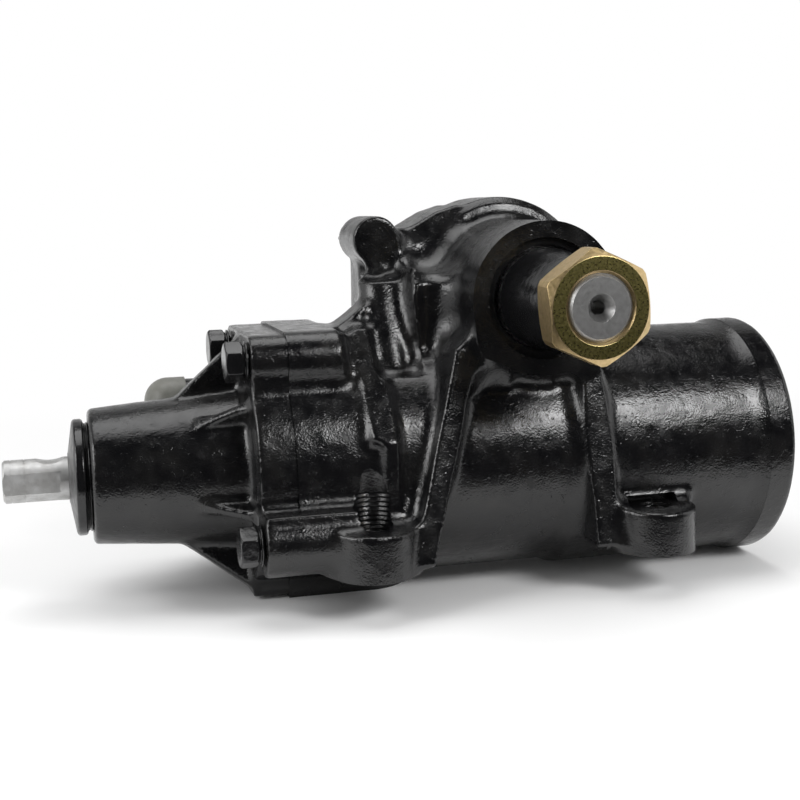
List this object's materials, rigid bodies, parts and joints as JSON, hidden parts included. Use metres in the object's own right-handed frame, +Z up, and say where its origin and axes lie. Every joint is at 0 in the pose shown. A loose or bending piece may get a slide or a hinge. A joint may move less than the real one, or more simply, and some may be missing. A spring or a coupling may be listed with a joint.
{
  "type": "steering gearbox",
  "caption": "Power steering gearbox: cast body with valve housing, input shaft, recirculating-ball worm and rack piston turning a tapered output shaft for the steering arm.",
  "frame": {"origin": "middle of the output (pitman) taper, on the cross shaft's axis", "axes": "+X along the worm axis from the input shaft to the end plug, -Y out along the output taper, +Z up"},
  "size_m": [0.3839, 0.202, 0.1922],
  "materials": {
    "black_casting": "gloss black enamel over as-cast iron",
    "black_bolt": "gloss black enamel",
    "seal_rubber": "moulded",
    "dust_rubber": "moulded, satin",
    "cap_plastic": "moulded, olive grey",
    "bright_steel": "turned and blasted",
    "yellow_zinc": "yellow zinc plate",
    "washer_steel": "bright zinc plate",
    "shaft_steel": "ground; black enamel on the taper",
    "ground_steel": "ground",
    "bronze": "reamed",
    "ptfe": "filled PTFE"
  },
  "bodies": {
    "housing": {"main_housing": "black_casting", "valve_housing": "black_casting", "valve_housing_bolts": "black_bolt", "valve_housing_seal": "seal_rubber", "dust_seal": "dust_rubber", "input_seal_snap_ring": "ground_steel", "input_shaft_seal": "seal_rubber", "input_needle_bearing": "ground_steel", "upper_thrust_bearing": "ground_steel", "lower_thrust_bearing": "ground_steel", "pressure_port_cap": "cap_plastic", "return_port_cap": "cap_plastic", "side_cover": "black_casting", "side_cover_bolts": "black_bolt", "side_cover_seal": "seal_rubber", "side_cover_bushing": "bronze", "lash_adjuster_screw": "ground_steel", "lash_adjuster_nut": "ground_steel", "sector_needle_bearing": "ground_steel", "sector_shaft_seal": "seal_rubber", "sector_seal_washer": "ground_steel", "sector_seal_retaining_ring": "ground_steel", "end_plug": "black_casting", "end_plug_seal": "seal_rubber", "end_plug_retaining_ring": "ground_steel"},
    "worm": {"worm_shaft": "ground_steel", "valve_sleeve": "ground_steel", "valve_sleeve_rings": "ptfe", "torsion_bar": "ground_steel", "torsion_bar_pin": "ground_steel", "sleeve_drive_pin": "ground_steel"},
    "input": {"input_shaft": "bright_steel"},
    "rack": {"rack_piston": "ground_steel", "piston_ring": "ptfe", "recirculating_balls": "ground_steel", "ball_return_guide": "ground_steel", "return_guide_clamp": "ground_steel", "piston_end_plug": "ground_steel"},
    "sector": {"sector_shaft": "shaft_steel", "pitman_nut": "yellow_zinc", "pitman_lock_washer": "washer_steel"}
  },
  "joints": [
    {"name": "sector_turn", "type": "hinge", "parent": "housing", "child": "sector", "pos_m": [0, 0, 0], "axis": [0, 1, 0], "range_deg": [-42, 42]},
    {"name": "rack_slide", "type": "slide", "parent": "housing", "child": "rack", "axis": [1, 0, 0], "range_m": [-0.0325, 0.0325]},
    {"name": "worm_turn", "type": "hinge", "parent": "housing", "child": "worm", "pos_m": [-0.15, 0.075, -0.0811], "axis": [1, 0, 0], "range_deg": [-650, 650]},
    {"name": "valve_twist", "type": "hinge", "parent": "worm", "child": "input", "pos_m": [-0.15, 0.075, -0.0811], "axis": [1, 0, 0], "range_deg": [-5, 5], "stiffness_Nm_per_rad": 80}
  ],
  "couplings": [
    {"joint": "rack_slide", "follows": "sector_turn", "m_per_rad": -0.0441},
    {"joint": "worm_turn", "follows": "sector_turn", "ratio": 15.394}
  ]
}
